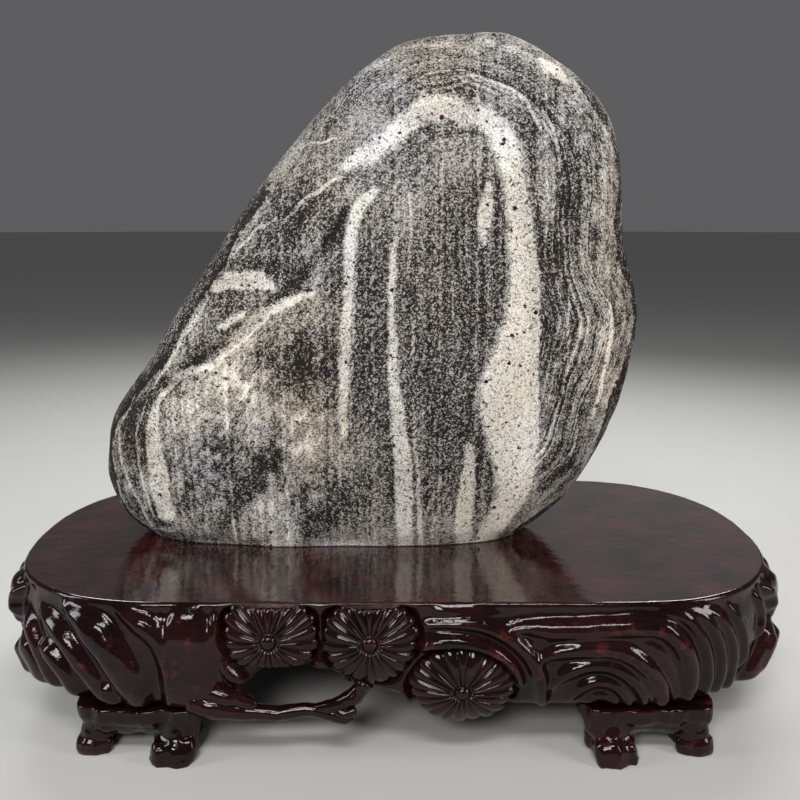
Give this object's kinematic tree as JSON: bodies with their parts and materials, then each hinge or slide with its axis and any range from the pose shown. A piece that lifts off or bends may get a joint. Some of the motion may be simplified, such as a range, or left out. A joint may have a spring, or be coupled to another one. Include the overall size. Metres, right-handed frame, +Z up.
{
  "type": "scholars rock",
  "caption": "Banded grey stone with a sawn flat base, resting upright on an oval carved and lacquered hardwood stand with root feet.",
  "frame": {"origin": "on the table beneath the middle of the stand", "axes": "+X to the viewer's right along the stand's length, +Y away from the viewer, +Z up"},
  "size_m": [0.482, 0.2506, 0.4103],
  "materials": {
    "stone": "matte, salt-and-pepper banded",
    "lacquered_wood": "high-gloss dark red-brown lacquer"
  },
  "bodies": {
    "root": {"stone": "stone", "stand": "lacquered_wood", "foot_front_left": "lacquered_wood", "foot_front_right": "lacquered_wood", "foot_back_left": "lacquered_wood", "foot_back_right": "lacquered_wood"}
  },
  "joints": []
}
